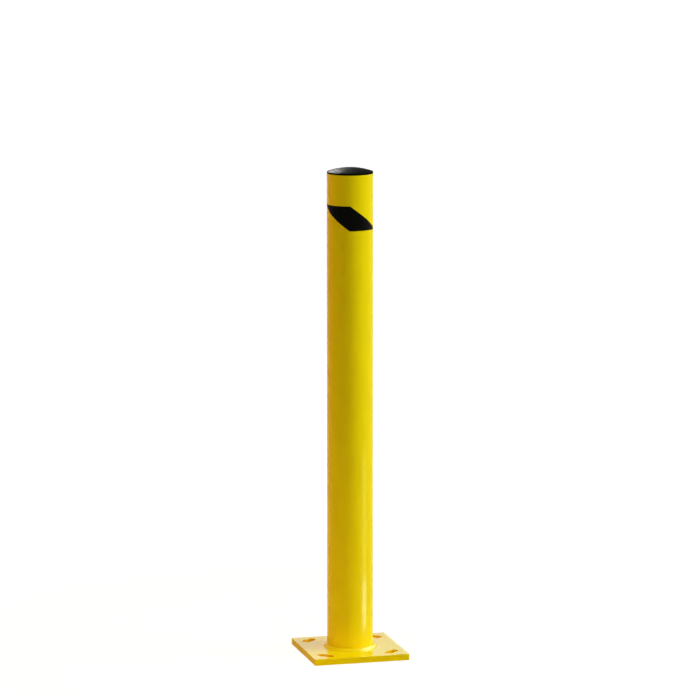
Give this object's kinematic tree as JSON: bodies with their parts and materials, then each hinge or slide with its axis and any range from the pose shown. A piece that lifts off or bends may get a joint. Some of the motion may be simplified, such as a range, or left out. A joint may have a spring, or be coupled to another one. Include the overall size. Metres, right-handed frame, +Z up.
{
  "type": "steel bollard",
  "caption": "Surface-mounted safety bollard: a round steel post welded to a square base plate with diagonal anchor slots, a domed push-in cap and slanting tape strips.",
  "frame": {"origin": "centre of the base plate's underside, which stands on the ground", "axes": "+Z up the post's axis; X and Y along the plate's sides; the picture looks from -Y, 15 degrees towards -X"},
  "size_m": [0.2414, 0.2414, 1.2192],
  "materials": {
    "yellow_powder_coat": "glossy powder coat over steel",
    "black_rubber": "moulded, satin",
    "black_tape": "gloss vinyl tape"
  },
  "bodies": {
    "root": {"post_tube": "yellow_powder_coat", "base_plate": "yellow_powder_coat", "foot_weld": "yellow_powder_coat", "tube_cap": "black_rubber", "front_tape": "black_tape", "back_tape": "black_tape"}
  },
  "joints": []
}
